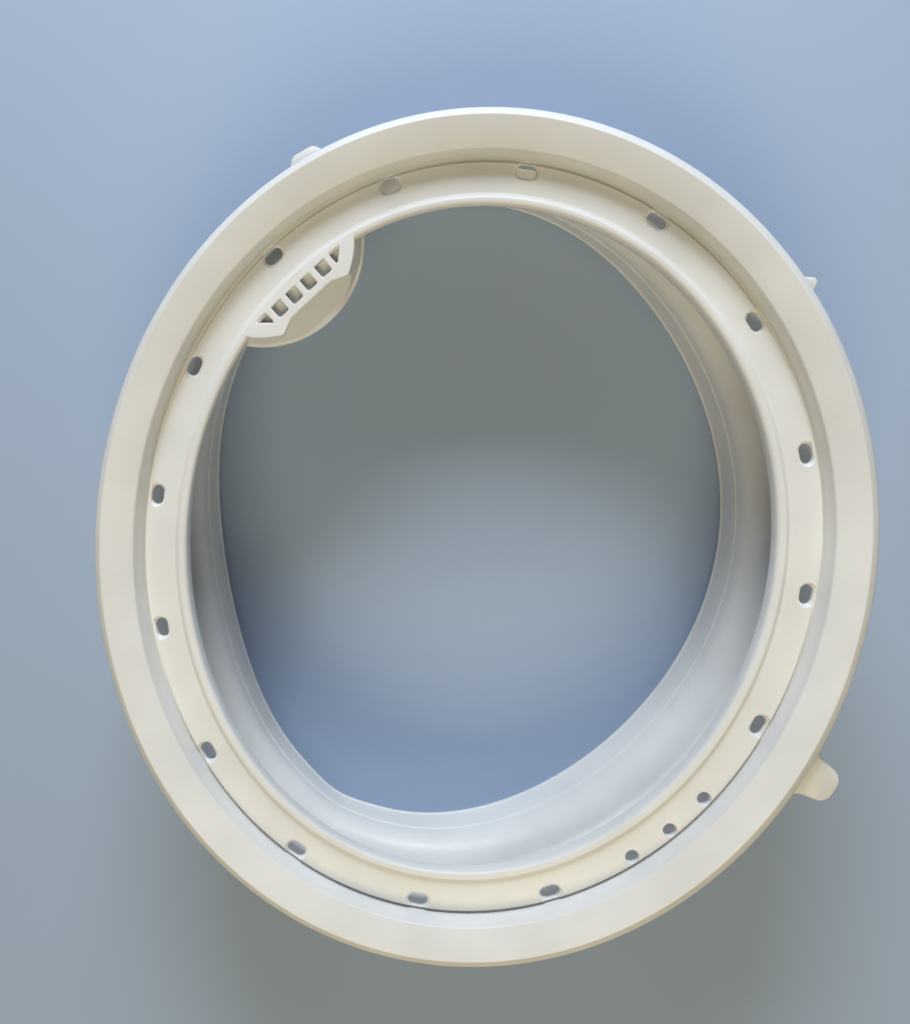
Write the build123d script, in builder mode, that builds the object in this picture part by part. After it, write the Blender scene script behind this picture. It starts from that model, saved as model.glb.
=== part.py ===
from build123d import *
from math import cos, hypot, radians
import os

# Door seal of a front-loading washing machine, moulded in one piece of rubber.
# It lies on its tub end: +Z is the door side, +Y the grille hood, which is the top when fitted.

# Front, from the opening outwards
opening_radius = 148.5
lip_width = 5.8
lip_slope = 2.1
ring_width = 15.2
step_lean = 2.3
band_width = 14.2
rim_edge_radius = 4.0
rim_radius = opening_radius + lip_width + ring_width + step_lean + band_width + rim_edge_radius

# Lay of the limp front: it rests a little oval, in quarter arcs that are tighter and wider by turns
oval_slack = 9.4
oval_angle = 44.0
arc_shift = oval_slack / (1 - cos(radians(45)))
arc_change = arc_shift - oval_slack

# Tub end, which slips over the neck of the tub, with a rib that keeps the clamp band on
tub_neck_radius = 158.0
neck_length = 46.0
collar_rib_width = 4.0
collar_rib_height = 4.0

# Bellows wall with one flat-sided fold
bellows_wall = 3.0
fold_depth = 18.0
fold_height = 28.0
fold_gap = 18.0

# Groove behind the rim for the edge of the cabinet's front panel
groove_width = 8.5
groove_depth = 15.5
rear_flange_thickness = 3.0
rear_flange_setback = 5.0

# Rim, drilled ring and lip, along the axis
flange_thickness = 6.5
band_rise = 5.0
step_height = 9.0
ring_thickness = 3.2
root_thickness = 4.8
lip_rise = 1.6
lip_height = 8.6
lip_thickness = 3.6

# Oval holes round the ring, and round drains in the bottom place
hole_places = 16
hole_length = 9.4
hole_width = 6.0
hole_from_crease = 4.5
drain_diameter = 6.2
drain_count = 3
drain_spacing = 7.6

# Grille hood hung inside the lip
hood_radius = 46.5
hood_reach = 21.0
hood_height = 13.0
hood_flare = 2.1
hood_wall = 1.8
grille_width = 10.5
grille_thickness = 2.4
slot_count = 4
slot_pitch = 9.3
slot_width = 6.0
slot_length = 6.6
slot_from_lip = 0.5
end_slot_width = 7.2
scoop_width = 24.0
scoop_splay = 2.3
scoop_drop = 10.5

# Tabs on the outer edge of the rim
tab_thickness = 3.0
tab_root_radius = 5.0
tongue_width = 17.0
tongue_reach = 16.5
tongue_tip_radius = 5.5
tongue_angle = -70.0
bump_width = 15.0
bump_reach = 4.5
bump_root_radius = 2.2
bump_tip_radius = 2.2
bump_angle = 78.0
nib_width = 10.0
nib_tip_width = 2.4
nib_reach = 5.5
nib_root_radius = 2.0
nib_tip_radius = 1.0
nib_angle = -0.3

# Heights from the tub end, which rests on z = 0
fold_z = neck_length + fold_height
rear_flange_z = fold_z + fold_gap
groove_z = rear_flange_z + rear_flange_thickness
flange_z = groove_z + groove_width
band_z = flange_z + flange_thickness
front_z = band_z + band_rise
crease_z = band_z - step_height
under_ring_z = crease_z - ring_thickness
lip_z = crease_z + lip_rise

# Radii of the ring as it is moulded, before it lies oval
strip_radius = opening_radius + lip_width
crease_radius = strip_radius + ring_width
band_radius = crease_radius + step_lean
groove_radius = rim_radius - groove_depth
root_radius = groove_radius - root_thickness
fold_radius = tub_neck_radius + fold_depth
hole_radius = crease_radius - hole_from_crease

hood_y = opening_radius - hood_reach + hood_radius
hood_z = lip_z - hood_height
hood_top_radius = hood_radius - hood_flare
tab_base_radius = rim_radius - rim_edge_radius / 8
on_base = (Align.CENTER, Align.CENTER, Align.MIN)


def quarter_arc(quarter):
    """Middle direction, centre and change of radius of one of the oval's four arcs."""
    direction = oval_angle + 90 * quarter
    tighter = 1 if quarter % 2 == 0 else -1
    centre = Vector(tighter * arc_shift, 0, 0).rotate(Axis.Z, direction)
    return direction, centre, -tighter * arc_change


def on_ring(angle, radius):
    """The place at an angle and radius of the moulded ring where it comes to lie, with X pointing outwards."""
    for quarter in range(4):
        direction, centre, change = quarter_arc(quarter)
        from_middle = (angle - direction + 180) % 360 - 180
        turn = from_middle / (1 + change / crease_radius)
        if abs(turn) <= 45:
            break
    outwards = Vector(radius + change, 0, 0).rotate(Axis.Z, direction + turn)
    return Location(centre + outwards, (0, 0, direction + turn))


def oval(radius):
    """The oval in which a circle of the moulded ring comes to lie."""
    with BuildSketch() as face:
        with BuildLine():
            for quarter in range(4):
                direction, centre, change = quarter_arc(quarter)
                CenterArc(centre, radius + change, direction - 45, 90)
        make_face()
    return face.sketch


# The hood is built with Y pointing outwards, from where the ring's own centre comes to lie for it
hood_place = on_ring(90, 0) * Location((0, 0, 0), (0, 0, -90))


def scoop_shape(inset):
    """The wedge scooped out of the hood's front, or with an inset the larger wedge that its hollow leaves solid."""
    back_y = opening_radius - grille_width + inset
    half_width = scoop_width / 2 + inset
    length = 2 * (hood_reach - grille_width)
    with BuildPart() as wedge:
        with BuildSketch(Plane.XY.offset(hood_z)):
            Polygon(
                (-half_width, back_y),
                (half_width, back_y),
                (half_width + scoop_splay * length, back_y - length),
                (-half_width - scoop_splay * length, back_y - length),
                align=None,
            )
        extrude(amount=2 * hood_height)
        with BuildSketch(Plane.YZ):
            Polygon(
                (back_y, lip_z - inset),
                (back_y, lip_z + hood_height),
                (back_y - length, lip_z + hood_height),
                (back_y - length, lip_z - inset - 2 * scoop_drop),
                align=None,
            )
        extrude(amount=half_width + scoop_splay * length, both=True, mode=Mode.INTERSECT)
    return wedge.part.moved(hood_place)


# Hollow of the hood, with a floor, open outwards under the edge of the lip
with BuildPart() as hood_hollow:
    with Locations(hood_place * Location((0, hood_y, hood_z))):
        Cone(hood_radius - hood_wall, hood_top_radius - hood_wall, hood_height, align=on_base)
    with BuildSketch(Plane.XY.offset(hood_z + hood_wall)):
        add(oval(opening_radius))
    extrude(amount=hood_height - grille_thickness - hood_wall, mode=Mode.INTERSECT)
    add(scoop_shape(hood_wall), mode=Mode.SUBTRACT)

# Space inside the lip, let into it by half at the height of the grille
with BuildPart() as hood_space:
    with BuildSketch(Plane.XY.offset(hood_z)):
        add(oval(opening_radius))
    extrude(amount=hood_height)
    with BuildSketch(Plane.XY.offset(lip_z - lip_height / 2)):
        add(oval(opening_radius + lip_thickness / 2))
    extrude(amount=lip_height / 2)

# Grille hood: the part of a flared cone that lies in that space
with BuildPart() as hood:
    with Locations(hood_place * Location((0, hood_y, hood_z))):
        Cone(hood_radius, hood_top_radius, hood_height, align=on_base)
    add(hood_space.part, mode=Mode.INTERSECT)
    add(scoop_shape(0), mode=Mode.SUBTRACT)
    add(hood_hollow.part, mode=Mode.SUBTRACT)


def edge_tab(angle, width, tip_width, reach, root_radius, tip_radius):
    """A flat tab on the rim's outer edge, with rounded roots and tip."""
    with BuildPart() as tab:
        with BuildSketch(Plane.XY.offset(flange_z)) as outline:
            Circle(tab_base_radius)
            tip = rim_radius + reach
            Polygon((0, -width / 2), (tip, -tip_width / 2), (tip, tip_width / 2), (0, width / 2), align=None)
            fillet(outline.vertices().group_by(Axis.X)[-1], tip_radius)
            roots = outline.vertices().filter_by(lambda v: abs(hypot(v.X, v.Y) - tab_base_radius) < 0.01)
            fillet(roots.filter_by(lambda v: v.X > 0 and abs(v.Y) > tip_width / 4), root_radius)
            with Locations((tab_base_radius, 0)):
                Rectangle(2 * (reach + rim_edge_radius), width + 4 * root_radius, mode=Mode.INTERSECT)
        extrude(amount=tab_thickness)
    return tab.part.moved(on_ring(angle, 0))


with BuildSketch() as front_section:
    # Rim with its sloped band, the cabinet groove and the flange behind it
    edge_cut = rim_edge_radius * (1 - cos(radians(45)))
    Polygon(
        (crease_radius, crease_z),
        (band_radius, band_z),
        (rim_radius - rim_edge_radius, front_z),
        (rim_radius - edge_cut, front_z - edge_cut),
        (rim_radius, front_z - rim_edge_radius),
        (rim_radius, flange_z),
        (groove_radius, flange_z),
        (groove_radius, groove_z),
        (rim_radius - rear_flange_setback, groove_z),
        (rim_radius - rear_flange_setback, rear_flange_z),
        (root_radius, rear_flange_z),
        (root_radius, under_ring_z),
        align=None,
    )

    # Drilled ring and the raised lip with its turned-down edge
    Polygon(
        (strip_radius, crease_z),
        (groove_radius, crease_z),
        (groove_radius, under_ring_z),
        (opening_radius + lip_thickness, under_ring_z),
        (opening_radius + lip_thickness, lip_z - lip_height),
        (opening_radius, lip_z - lip_height),
        (opening_radius, lip_z),
        (strip_radius - lip_slope, lip_z),
        align=None,
    )

    # Bellows wall: fold and root
    with BuildLine():
        inner_line = Polyline(
            (fold_radius, neck_length - bellows_wall),
            (fold_radius, fold_z),
            (root_radius, fold_z),
            (root_radius, groove_z),
        )
        offset(inner_line, amount=bellows_wall, kind=Kind.INTERSECTION, side=Side.RIGHT)
    make_face()

with BuildPart() as door_seal:
    # Front, swept round the oval quarter by quarter
    for quarter in range(4):
        direction, centre, change = quarter_arc(quarter)
        start = Location(centre, (0, 0, direction - 45)) * Location((change, 0, 0), (90, 0, 0))
        with BuildSketch(Plane(start)):
            add(front_section.sketch)
        revolve(axis=Axis(centre, (0, 0, 1)), revolution_arc=90)

    # Flank of the fold, from the round neck out to the oval
    with BuildSketch(Plane.XY.offset(neck_length - bellows_wall)):
        add(oval(fold_radius + bellows_wall))
        Circle(tub_neck_radius, mode=Mode.SUBTRACT)
    extrude(amount=bellows_wall)

    # Neck and its rib, which stay round for the tub
    with BuildSketch(Plane.XZ):
        with Locations((tub_neck_radius, 0)):
            Rectangle(bellows_wall, neck_length, align=Align.MIN)
            Rectangle(bellows_wall + collar_rib_height, collar_rib_width, align=Align.MIN)
    revolve(axis=Axis.Z)

    # Oval holes through the ring, all round but for the bottom place
    with BuildSketch(Plane.XY.offset(under_ring_z)):
        with Locations([on_ring(360 / hole_places * place - 90, hole_radius) for place in range(1, hole_places)]):
            SlotOverall(hole_length, hole_width, rotation=90)
    extrude(amount=ring_thickness, mode=Mode.SUBTRACT)

    # Round drains in the bottom place
    with BuildSketch(Plane.XY.offset(under_ring_z)):
        first_drain = -90 - drain_spacing * (drain_count - 1) / 2
        with Locations([on_ring(first_drain + drain_spacing * drain, hole_radius) for drain in range(drain_count)]):
            Circle(drain_diameter / 2)
    extrude(amount=ring_thickness, mode=Mode.SUBTRACT)

    # Grille hood and the slots through its top
    add(hood.part)
    slot_y = opening_radius - slot_from_lip - slot_length / 2
    with BuildSketch(Plane(hood_place).offset(lip_z - grille_thickness)):
        with Locations((0, slot_y)):
            with GridLocations(slot_pitch, 0, slot_count, 1):
                Rectangle(slot_width, slot_length)
            end_slot_x = slot_pitch * (slot_count + 1) / 2 - slot_width / 2
            for side in (-1, 1):
                Polygon(
                    (side * end_slot_x, -slot_length / 2),
                    (side * end_slot_x, slot_length / 2),
                    (side * (end_slot_x + end_slot_width), slot_length / 2),
                    align=None,
                )
    extrude(amount=2 * grille_thickness, mode=Mode.SUBTRACT)

    # Tongue, low bump and pointed nib on the edge of the rim
    add(edge_tab(tongue_angle, tongue_width, tongue_width, tongue_reach, tab_root_radius, tongue_tip_radius))
    add(edge_tab(bump_angle, bump_width, bump_width, bump_reach, bump_root_radius, bump_tip_radius))
    add(edge_tab(nib_angle, nib_width, nib_tip_width, nib_reach, nib_root_radius, nib_tip_radius))

door_seal.part.label = "door_seal"
os.makedirs("parts", exist_ok=True)
export_step(door_seal.part, "parts/door_seal.step")
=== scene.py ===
from math import atan2, cos, exp, hypot, pi, radians, sin, sqrt, tan

import bmesh
import bpy
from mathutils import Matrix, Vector


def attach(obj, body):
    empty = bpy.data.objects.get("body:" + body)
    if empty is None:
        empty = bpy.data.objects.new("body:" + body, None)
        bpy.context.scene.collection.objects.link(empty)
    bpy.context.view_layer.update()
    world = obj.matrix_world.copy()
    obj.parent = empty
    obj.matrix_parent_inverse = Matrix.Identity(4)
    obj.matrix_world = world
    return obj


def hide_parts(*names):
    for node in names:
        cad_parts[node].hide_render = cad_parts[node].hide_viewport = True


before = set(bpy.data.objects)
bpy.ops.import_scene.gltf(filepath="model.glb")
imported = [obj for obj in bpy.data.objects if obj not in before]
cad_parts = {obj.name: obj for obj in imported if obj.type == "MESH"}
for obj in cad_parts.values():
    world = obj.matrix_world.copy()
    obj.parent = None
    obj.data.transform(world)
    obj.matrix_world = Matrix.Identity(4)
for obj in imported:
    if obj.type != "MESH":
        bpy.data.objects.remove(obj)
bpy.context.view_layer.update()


# Moulded ring of the seal: front rim, drilled ring, lip, cabinet groove, fold, neck and tub collar.
# It is pale grey rubber pressed in one mould, so every edge of its section is softly rounded.
# The section is turned round the seal's axis; all its sizes are in millimetres.
mm = 0.001
steps_around = 340
opening_radius = 148.5
lip_top_radius = 152.2
lip_foot_radius = 154.3
crease_radius = 169.5
crease_width = 1.3
crease_depth = 2.1
band_radius = 171.8
crest_radius = 186.0
rim_radius = 190.0
groove_radius = 174.5
flange_radius = 185.0
root_radius = 169.7
fold_radius = 176.0
neck_radius = 158.0
rib_radius = 165.0
lip_back_radius = 152.1
wall = 3.0
lip_z = 102.6
ring_z = 101.0
under_ring_z = 97.8
band_z = 110.0
crest_z = 115.0
shoulder_z = 112.2
flange_z = 103.5
groove_z = 95.0
rear_flange_z = 92.0
fold_top_z = 74.0
fold_bottom_z = 46.0
lip_foot_z = 94.0
rib_z = 4.0
collar_z = 28.0
collar_bead = 0.2
collar_bead_height = 1.2
collar_bead_top = 1.8
collar_step = 0.4
lead_in = 3.2
lead_in_z = 8.0

# Corners of the section as radius, height and rounding
section_corners = [
    (opening_radius, lip_z, 2.2),
    (lip_top_radius, lip_z, 0.9),
    (lip_foot_radius, ring_z, 0.7),
    (crease_radius - crease_width, ring_z, 0.25),
    (crease_radius - 0.7 * crease_width, ring_z - crease_depth, 0.2),
    (crease_radius + 0.2 * crease_width, ring_z - crease_depth, 0.2),
    (band_radius, band_z, 1.4),
    (crest_radius, crest_z, 0.9),
    (rim_radius, shoulder_z, 2.6),
    (rim_radius, flange_z, 2.5),
    (groove_radius, flange_z, 1.5),
    (groove_radius, groove_z, 1.0),
    (flange_radius, groove_z, 1.0),
    (flange_radius, rear_flange_z, 1.0),
    (root_radius + wall, rear_flange_z, 1.5),
    (root_radius + wall, fold_top_z + wall, 2.5),
    (fold_radius + wall, fold_top_z + wall, 5.0),
    (fold_radius + wall, fold_bottom_z - wall, 6.0),
    (neck_radius + wall, fold_bottom_z - wall, 10.0),
    (neck_radius + wall, rib_z, 1.0),
    (rib_radius, rib_z, 1.3),
    (rib_radius, 0.0, 1.3),
    (neck_radius + lead_in, 0.0, 0.6),
    (neck_radius - collar_bead, lead_in_z, 0.3),
    (neck_radius - collar_bead, lead_in_z + collar_bead_height, 0.3),
    (neck_radius + collar_step, lead_in_z + collar_bead_top, 0.3),
    (neck_radius + collar_step, collar_z, 0.15),
    (neck_radius + 2 * collar_step, collar_z + collar_step, 0.15),
    (neck_radius + 2 * collar_step, fold_bottom_z, 12.5),
    (fold_radius, fold_bottom_z, 4.0),
    (fold_radius, fold_top_z, 4.0),
    (root_radius, fold_top_z, 2.0),
    (root_radius, under_ring_z, 2.0),
    (lip_back_radius, under_ring_z, 1.2),
    (lip_back_radius, lip_foot_z, 1.4),
    (opening_radius, lip_foot_z, 1.4),
]
edge_steps = 3
bend_steps = 6
smallest_bend = 3.0
longest_run = 7.0


def rounded_outline(corners, longest):
    """A closed outline through the corners, each rounded by an arc, with its long straight runs divided."""
    outline = []
    for index, (across, up, rounding) in enumerate(corners):
        corner = Vector((across, up))
        to_last = (Vector(corners[index - 1][:2]) - corner).normalized()
        to_next = (Vector(corners[(index + 1) % len(corners)][:2]) - corner).normalized()
        half_angle = to_last.angle(to_next) / 2
        centre = corner + (to_last + to_next).normalized() * rounding / sin(half_angle)
        start = corner + to_last * rounding / tan(half_angle) - centre
        end = corner + to_next * rounding / tan(half_angle) - centre
        first = atan2(start.y, start.x)
        turn = (atan2(end.y, end.x) - first + pi) % (2 * pi) - pi
        steps = bend_steps if rounding > smallest_bend else edge_steps
        for step in range(steps + 1):
            angle = first + turn * step / steps
            outline.append(centre + rounding * Vector((cos(angle), sin(angle))))
    divided = []
    for index, point in enumerate(outline):
        run = outline[(index + 1) % len(outline)] - point
        pieces = max(1, round(run.length / longest))
        divided += [point + run * piece / pieces for piece in range(pieces)]
    return divided


def new_piece(name, points, faces):
    """A mesh object from points in millimetres and faces, with its normals facing out."""
    mesh = bpy.data.meshes.new(name)
    mesh.from_pydata([Vector(point) * mm for point in points], [], faces)
    piece = bpy.data.objects.new(name, mesh)
    bpy.context.collection.objects.link(piece)
    shell = bmesh.new()
    shell.from_mesh(mesh)
    bmesh.ops.recalc_face_normals(shell, faces=shell.faces)
    shell.to_mesh(mesh)
    shell.free()
    return piece


def revolved(name, outline, steps):
    """The outline, given as radius and height, turned once round the Z axis."""
    points = []
    for step in range(steps):
        angle = 2 * pi * step / steps
        points += [(radius * cos(angle), radius * sin(angle), height) for radius, height in outline]
    count = len(outline)
    faces = []
    for step in range(steps):
        here = step * count
        beyond = (step + 1) % steps * count
        for index in range(count):
            after = (index + 1) % count
            faces.append((here + index, here + after, beyond + after, beyond + index))
    return new_piece(name, points, faces)


seal = revolved("rubber_door_seal", rounded_outline(section_corners, longest_run), steps_around)


# Oval holes in the ring, each in a shallow dish that bites into the foot of the step,
# and three round drains at the bottom. They are moulded round pins, which leave soft edges,
# and are cut here by pins of that form.
hole_places = 16
hole_radius = 165.0
oval_half_run = 1.7
oval_end_radius = 3.0
drain_radius = 3.1
drain_half_run = 0.031
drain_count = 3
drain_spacing = 7.6
pin_steps = 14

# Height from the ring's face and how much wider the pin is there
oval_pin = [
    (-8.0, 0.0), (-1.3, 0.0), (-1.0, 0.12), (-0.8, 0.4), (-0.7, 0.8), (-0.4, 1.1), (0.0, 1.2), (4.0, 1.2)]
drain_pin = [(-8.0, 0.0), (-0.6, 0.0), (-0.3, 0.1), (-0.1, 0.25), (0.0, 0.5), (2.0, 0.9)]


def prism(name, levels):
    """A closed solid through a stack of outlines with the same number of points."""
    count = len(levels[0])
    points = [point for level in levels for point in level]
    faces = [tuple(range(count)), tuple(range(len(points) - count, len(points)))]
    for low in range(0, len(points) - count, count):
        for index in range(count):
            after = (index + 1) % count
            faces.append((low + index, low + after, low + count + after, low + count + index))
    return new_piece(name, points, faces)


def pin(name, angle, half_run, end_radius, stages):
    """A pin through the ring, oval or round, at an angle round the seal."""
    levels = []
    for height, widening in stages:
        level = []
        for side in (1, -1):
            for step in range(pin_steps + 1):
                turn = pi * step / pin_steps
                out = hole_radius + side * (end_radius + widening) * cos(turn)
                along = side * (half_run + (end_radius + widening) * sin(turn))
                x = out * cos(angle) - along * sin(angle)
                y = out * sin(angle) + along * cos(angle)
                level.append((x, y, ring_z + height))
        levels.append(level)
    return prism(name, levels)


def combine(piece, other, operation):
    """Joins the other shape to the piece, or cuts it away, and removes the other shape."""
    work = piece.modifiers.new("combine", "BOOLEAN")
    work.object = other
    work.operation = operation
    work.solver = "MANIFOLD"
    bpy.context.view_layer.objects.active = piece
    bpy.ops.object.modifier_apply(modifier=work.name)
    bpy.data.objects.remove(other)


def joined(pieces):
    """Several separate solids as one object."""
    bpy.ops.object.select_all(action="DESELECT")
    for piece in pieces:
        piece.select_set(True)
    bpy.context.view_layer.objects.active = pieces[0]
    bpy.ops.object.join()
    return pieces[0]


pins = []
for place in range(1, hole_places):
    angle = radians(place * 360 / hole_places - 90)
    pins.append(pin("oval_pin", angle, oval_half_run, oval_end_radius, oval_pin))
for place in range(drain_count):
    angle = radians((place - (drain_count - 1) / 2) * drain_spacing - 90)
    pins.append(pin("drain_pin", angle, drain_half_run, drain_radius, drain_pin))
combine(seal, joined(pins), "DIFFERENCE")


# Grille hood at the top of the opening: a slotted plate level with the lip, over a shallow pocket,
# and a flared visor scooped out in front. It is of the same rubber as the lip and comes out of the same mould,
# which leaves its edges soft.
hood_base_radius = 49.3
hood_top_radius = 44.8
hood_height = 13.0
hood_centre_y = 174.0
hood_wall = 1.8
plate_rise = 0.02
hood_top_z = lip_z + plate_rise
hood_z = hood_top_z - hood_height
hood_root_radius = opening_radius + 0.4
hood_set_radius = 151.2
hood_set_depth = 4.0
hood_overlap = 1.0
plate_edge_y = 138.0
plate_thickness = 2.0
pocket_depth = 5.0
scoop_half_width = 12.0
scoop_splay = 2.3
scoop_drop = 10.5
scoop_reach = 11.7
scoop_overrun = 2
slot_count = 4
slot_pitch = 9.3
slot_width = 6.0
slot_low_y = 141.4
slot_high_y = 148.0
end_slot_x = 20.25
end_slot_width = 7.2
slot_overrun = 1.0
visor_bead = 0.9
hood_grain = 0.00045
hood_softening = 5
circle_steps = 160


def round_level(centre_y, radius, height):
    """A circle of points about the hood's own axis."""
    turns = [2 * pi * step / circle_steps for step in range(circle_steps)]
    return [(radius * cos(turn), centre_y + radius * sin(turn), height) for turn in turns]


def inside_opening(low_radius, plate_radius):
    """The space inside the lip, with its own radius at the height of the plate."""
    inner_radius = opening_radius / 2
    low_z = hood_z - hood_height
    set_z = lip_z - hood_set_depth
    high_z = lip_z + hood_overlap
    return revolved("inside_opening", [
        (inner_radius, low_z), (low_radius, low_z), (low_radius, set_z),
        (plate_radius, set_z), (plate_radius, high_z), (inner_radius, high_z)], steps_around)


def scoop(inset):
    """The wedge scooped out of the visor, or with an inset the larger wedge that the hollow leaves solid."""
    back_y = plate_edge_y + inset
    front_y = back_y - scoop_overrun * scoop_reach
    back = scoop_half_width + inset
    front = back + scoop_overrun * scoop_splay * scoop_reach
    back_z = hood_top_z - inset
    front_z = back_z - scoop_overrun * scoop_drop
    top_z = hood_top_z + hood_height
    slope = [
        (-back, back_y, back_z), (back, back_y, back_z),
        (front, front_y, front_z), (-front, front_y, front_z)]
    return prism("scoop", [slope, [(x, y, top_z) for x, y, z in slope]])


def slot(corners):
    """A cutter through the plate, from its corners in plan."""
    low_z = hood_top_z - plate_thickness - slot_overrun
    high_z = hood_top_z + 2 * slot_overrun
    return prism("slot", [[(x, y, z) for x, y in corners] for z in (low_z, high_z)])


hood_flare = (hood_base_radius - hood_top_radius) / hood_height
hollow = prism("hollow", [
    round_level(hood_centre_y, hood_top_radius + hood_flare * depth - hood_wall, hood_top_z - depth)
    for depth in (pocket_depth, plate_thickness)])
combine(hollow, inside_opening(opening_radius, opening_radius), "INTERSECT")
combine(hollow, scoop(hood_wall), "DIFFERENCE")

hood = prism("grille_hood", [
    round_level(hood_centre_y, hood_base_radius, hood_z),
    round_level(hood_centre_y, hood_top_radius, hood_top_z)])
combine(hood, scoop(0), "DIFFERENCE")
bead = prism("bead", [
    round_level(hood_centre_y, hood_base_radius, hood_z),
    round_level(hood_centre_y, hood_base_radius + visor_bead / 2, hood_z + visor_bead / 2),
    round_level(hood_centre_y, hood_base_radius + visor_bead / 2, hood_z + 3 * visor_bead),
    round_level(hood_centre_y, hood_base_radius, hood_z + 3.5 * visor_bead)])
combine(hood, bead, "UNION")
combine(hood, inside_opening(hood_root_radius, hood_set_radius), "INTERSECT")
combine(hood, hollow, "DIFFERENCE")
slots = []
for place in range(slot_count):
    middle = (place - (slot_count - 1) / 2) * slot_pitch
    left, right = middle - slot_width / 2, middle + slot_width / 2
    slots.append(slot([(left, slot_low_y), (right, slot_low_y), (right, slot_high_y), (left, slot_high_y)]))
for side in (-1, 1):
    near, far = side * end_slot_x, side * (end_slot_x + end_slot_width)
    slots.append(slot([(near, slot_low_y), (near, slot_high_y), (far, slot_high_y)]))
combine(hood, joined(slots), "DIFFERENCE")

remesh = hood.modifiers.new("even_grain", "REMESH")
remesh.mode = "VOXEL"
remesh.voxel_size = hood_grain
soften = hood.modifiers.new("soft_edges", "SMOOTH")
soften.factor = 0.5
soften.iterations = hood_softening
for modifier in ("even_grain", "soft_edges"):
    bpy.context.view_layer.objects.active = hood
    bpy.ops.object.modifier_apply(modifier=modifier)
combine(seal, hood, "UNION")


# Tabs on the rim's outer edge: a long tongue that is pulled when the seal is fitted,
# a low bump and a small nib. They are flat, moulded on with the rim in the same rubber,
# and have hollow roots and a rounded tip.
tab_thickness = 3.0
tab_low_z = flange_z + 0.4
tab_edge = 0.6
tab_chamfer = 0.2
tab_spread = 1.5
tab_base_sink = 0.6
tab_root_sink = 0.4
tab_anchor = 4.0
tab_corner = 0.5
tab_run = 2.0
# Angle round the seal, width at the root, width at the tip, reach, and the roundings of the root and tip
tongue = (-70.0, 20.5, 15.0, 16.5, 8.5, 6.4)
bump = (77.5, 20.0, 11.0, 5.4, 2.5, 4.2)
nib = (0.6, 11.0, 2.0, 5.2, 3.4, 0.8)


def tab(angle, root_width, tip_width, reach, root_rounding, tip_rounding):
    """A flat tab on the rim, softened along its edges."""
    half = root_width / 2 + root_rounding * tab_spread
    base = sqrt(rim_radius ** 2 - half ** 2) - tab_base_sink
    root = sqrt(rim_radius ** 2 - root_width ** 2 / 4) - tab_root_sink
    tip = rim_radius + reach
    corners = [
        (base - tab_anchor, -half, tab_corner), (base, -half, tab_corner),
        (root, -root_width / 2, root_rounding),
        (tip, -tip_width / 2, tip_rounding), (tip, tip_width / 2, tip_rounding),
        (root, root_width / 2, root_rounding),
        (base, half, tab_corner), (base - tab_anchor, half, tab_corner)]
    outline = rounded_outline(corners, tab_run)
    count = len(outline)
    turn = radians(angle)
    levels = []
    edge = [(0, tab_edge), (tab_chamfer, tab_chamfer), (tab_edge, 0)]
    lower = [(tab_low_z + rise, inset) for rise, inset in edge]
    upper = [(tab_low_z - rise + tab_thickness, inset) for rise, inset in reversed(edge)]
    for height, inset in lower + upper:
        level = []
        for index, point in enumerate(outline):
            along = (outline[(index + 1) % count] - outline[index - 1]).normalized()
            out = point.x - along.y * inset
            side = point.y + along.x * inset
            level.append((out * cos(turn) - side * sin(turn), out * sin(turn) + side * cos(turn), height))
        levels.append(level)
    return prism("tab", levels)


combine(seal, joined([tab(*tongue), tab(*bump), tab(*nib)]), "UNION")

# Slivers that the joins leave are taken out
sliver = 0.0000002
shell = bmesh.new()
shell.from_mesh(seal.data)
bmesh.ops.remove_doubles(shell, verts=shell.verts, dist=sliver)
bmesh.ops.dissolve_degenerate(shell, edges=shell.edges, dist=sliver)
shell.to_mesh(seal.data)
shell.free()


# Lay of the loose seal: the limp rubber ring lies oval, more so at its tub end,
# which also leans to one side and has a kink.
# The wall keeps its length and thickness, so each cross section moves and swings as a whole.

# Number of lobes, depth in millimetres and direction in degrees
front_lay = [(2, 9.4, 44.0), (3, 0.7, -35.0)]
rear_lay = [(1, 19.2, 107.4), (2, 15.7, 49.2), (3, 4.3, -31.8), (4, 2.2, 33.1), (5, 0.6, -22.0)]
lay_front_z = 104.0
lay_rear_z = 8.0
middle_radius = 170.0
kink_angle = -151.9
kink_width = 6.0
kink_depth = 2.0

for vertex in seal.data.vertices:
    x, y, z = vertex.co / mm
    radius = hypot(x, y)
    angle = atan2(y, x)
    slack = min(1, max(0, (lay_front_z - z) / (lay_front_z - lay_rear_z)))
    out = 0
    along = 0
    swing = 0
    for share, lay in ((1 - slack, front_lay), (slack, rear_lay)):
        for lobes, depth, direction in lay:
            phase = lobes * (angle - radians(direction))
            out += share * depth * cos(phase)
            along -= share * depth / lobes * sin(phase)
            swing += share * depth * (lobes - 1 / lobes) * sin(phase) / middle_radius
    off_kink = (angle - radians(kink_angle) + pi) % (2 * pi) - pi
    out += kink_depth * slack ** 2 * exp(-(off_kink / radians(kink_width)) ** 2)
    along += (radius - middle_radius) * swing
    vertex.co.x = ((radius + out) * cos(angle) - along * sin(angle)) * mm
    vertex.co.y = ((radius + out) * sin(angle) + along * cos(angle)) * mm

sharpest_bend = 40.0
seal.data.set_sharp_from_angle(angle=radians(sharpest_bend))
for face in seal.data.polygons:
    face.use_smooth = True
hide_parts("door_seal")
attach(seal, "root")

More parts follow.
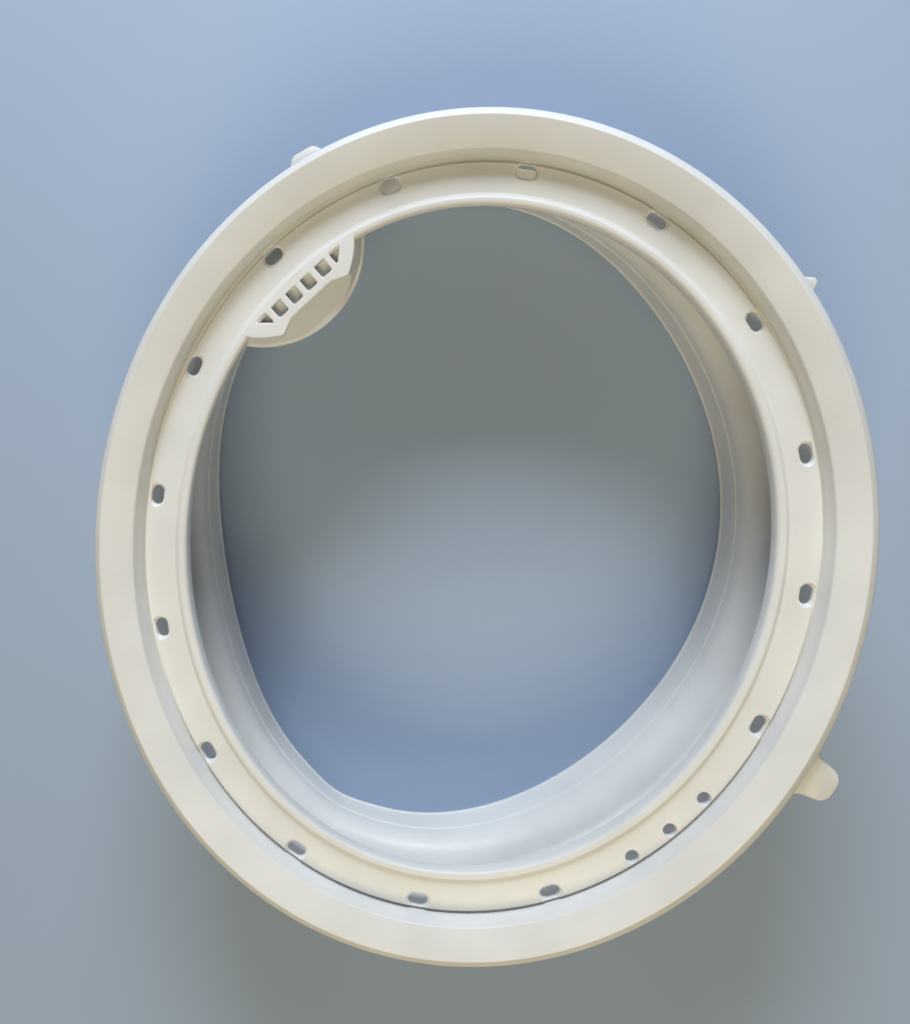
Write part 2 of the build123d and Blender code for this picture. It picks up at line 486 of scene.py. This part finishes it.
# Pale rubber, satin, faintly mottled, with a fine moulded grain
rubber = bpy.data.materials.new("pale_grey_rubber")
rubber.use_nodes = True
nodes = rubber.node_tree.nodes
links = rubber.node_tree.links
shader = nodes["Principled BSDF"]
shader.inputs["Roughness"].default_value = 0.45
where = nodes.new("ShaderNodeTexCoord")
mottle = nodes.new("ShaderNodeTexNoise")
mottle.inputs["Scale"].default_value = 26.0
mottle.inputs["Detail"].default_value = 6.0
links.new(where.outputs["Object"], mottle.inputs["Vector"])
tone = nodes.new("ShaderNodeValToRGB")
tone.color_ramp.elements[0].position = 0.3
tone.color_ramp.elements[0].color = (0.70, 0.695, 0.683, 1)
tone.color_ramp.elements[1].position = 0.72
tone.color_ramp.elements[1].color = (0.78, 0.776, 0.766, 1)
links.new(mottle.outputs["Fac"], tone.inputs["Fac"])
links.new(tone.outputs["Color"], shader.inputs["Base Color"])
grain = nodes.new("ShaderNodeTexNoise")
grain.inputs["Scale"].default_value = 900.0
grain.inputs["Detail"].default_value = 3.0
links.new(where.outputs["Object"], grain.inputs["Vector"])
relief = nodes.new("ShaderNodeBump")
relief.inputs["Strength"].default_value = 0.06
relief.inputs["Distance"].default_value = 0.0004
links.new(grain.outputs["Fac"], relief.inputs["Height"])
links.new(relief.outputs["Normal"], shader.inputs["Normal"])
seal.data.materials.clear()
seal.data.materials.append(rubber)


# Plain pale floor that the seal lies on, a matt sheet of bluish grey.
# It is part of the stage, flat and level, at the height of the seal's tub end.
floor_size = 6.0
bpy.ops.mesh.primitive_plane_add(size=floor_size)
floor = bpy.context.object
floor.name = "floor"
pale_floor = bpy.data.materials.new("pale_floor")
pale_floor.use_nodes = True
nodes = pale_floor.node_tree.nodes
links = pale_floor.node_tree.links
shader = nodes["Principled BSDF"]
shader.inputs["Roughness"].default_value = 0.8
where = nodes.new("ShaderNodeTexCoord")
cloud = nodes.new("ShaderNodeTexNoise")
cloud.inputs["Scale"].default_value = 3.0
links.new(where.outputs["Object"], cloud.inputs["Vector"])
tone = nodes.new("ShaderNodeValToRGB")
tone.color_ramp.elements[0].color = (0.34, 0.425, 0.575, 1)
tone.color_ramp.elements[1].color = (0.36, 0.45, 0.60, 1)
links.new(cloud.outputs["Fac"], tone.inputs["Fac"])
links.new(tone.outputs["Color"], shader.inputs["Base Color"])
floor.data.materials.append(pale_floor)


# Camera nearly straight above the seal, close to it and a little to one side of its axis,
# as in the photograph, so that the tub end looks much smaller than the rim.
camera_data = bpy.data.cameras.new("camera")
camera_data.lens = 33.58
camera = bpy.data.objects.new("camera", camera_data)
camera.location = (0.0469, 0.0117, 0.55)
camera.rotation_euler = (radians(-2.79), radians(4.99), radians(-36.6))
bpy.context.collection.objects.link(camera)
bpy.context.scene.camera = camera


# Soft studio light: a large cool lamp low over the photograph's top, which leaves the inside there in shadow,
# a weaker warm one from across, and a faint even room.
def soft_lamp(name, direction, elevation, distance, size, power, colour):
    """A square lamp that points at the seal from a direction round it."""
    data = bpy.data.lights.new(name, "AREA")
    data.size = size
    data.energy = power
    data.color = colour
    lamp = bpy.data.objects.new(name, data)
    around, up = radians(direction), radians(elevation)
    lamp.location = distance * Vector((cos(around) * cos(up), sin(around) * cos(up), sin(up)))
    lamp.rotation_euler = (-lamp.location).to_track_quat("-Z", "Y").to_euler()
    bpy.context.collection.objects.link(lamp)


soft_lamp("window_lamp", direction=55.0, elevation=31.0, distance=1.6, size=0.7, power=27.0,
          colour=(0.84, 0.92, 1.0))
soft_lamp("room_lamp", direction=236.0, elevation=55.0, distance=1.8, size=0.9, power=16.5,
          colour=(1.0, 0.87, 0.58))
world = bpy.data.worlds.new("soft_room")
world.use_nodes = True
world.node_tree.nodes["Background"].inputs["Color"].default_value = (0.96, 0.97, 1.0, 1)
world.node_tree.nodes["Background"].inputs["Strength"].default_value = 0.08
bpy.context.scene.world = world
bpy.context.scene.view_settings.view_transform = "Standard"
